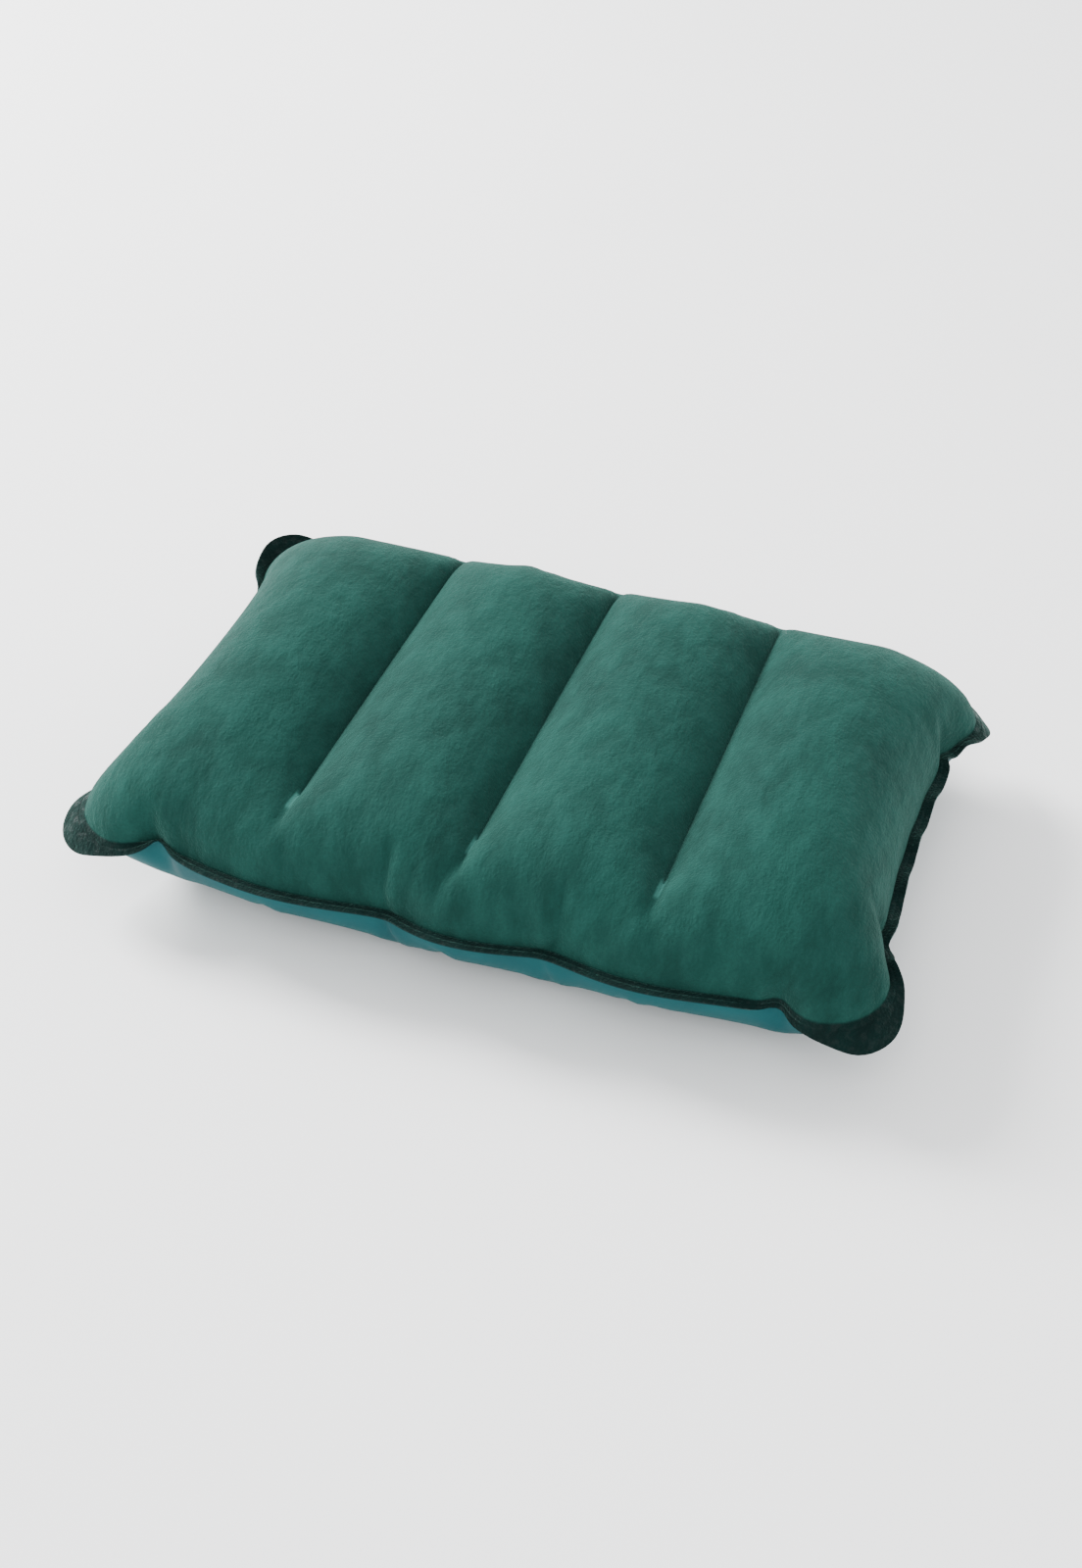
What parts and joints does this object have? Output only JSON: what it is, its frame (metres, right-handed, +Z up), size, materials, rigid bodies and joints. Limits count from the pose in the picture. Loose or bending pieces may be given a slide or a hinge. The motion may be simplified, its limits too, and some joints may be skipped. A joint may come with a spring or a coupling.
{
  "type": "inflatable camp pillow",
  "caption": "Inflatable camp pillow with a ribbed flocked top, a plain underside, a welded flange with ears, inner beams and a push-in mouth valve.",
  "frame": {"origin": "on the floor under the middle of the pillow", "axes": "+X along the pillow's length, across the grooves; -Y towards the front long side; +Z up"},
  "size_m": [0.4394, 0.282, 0.102],
  "materials": {
    "flocked_sheet": "short dark green flock on vinyl film",
    "plain_sheet": "soft satin teal vinyl film",
    "beam_sheet": "plain vinyl film",
    "valve_vinyl": "soft moulded vinyl",
    "flap_film": "thin vinyl film"
  },
  "bodies": {
    "pillow": {"top_panel": "flocked_sheet", "bottom_panel": "plain_sheet", "beam_left": "beam_sheet", "beam_middle": "beam_sheet", "beam_right": "beam_sheet", "valve_base": "valve_vinyl"},
    "stem": {"valve_stem": "valve_vinyl", "valve_strap": "valve_vinyl"},
    "cap": {"valve_cap": "valve_vinyl"},
    "flap": {"valve_flap": "flap_film"}
  },
  "joints": [
    {"name": "stem_slide", "type": "slide", "parent": "pillow", "child": "stem", "axis": [0, 0.4803, -0.8771], "range_m": [0, 0.008]},
    {"name": "cap_swing", "type": "hinge", "parent": "stem", "child": "cap", "pos_m": [-0.0402, 0.10619, 0.01199], "axis": [0, -0.8771, -0.4803], "range_deg": [0, 150]},
    {"name": "flap_swing", "type": "hinge", "parent": "stem", "child": "flap", "pos_m": [-0.048, 0.09198, 0.02628], "axis": [1, 0, 0], "range_deg": [0, 40]}
  ]
}
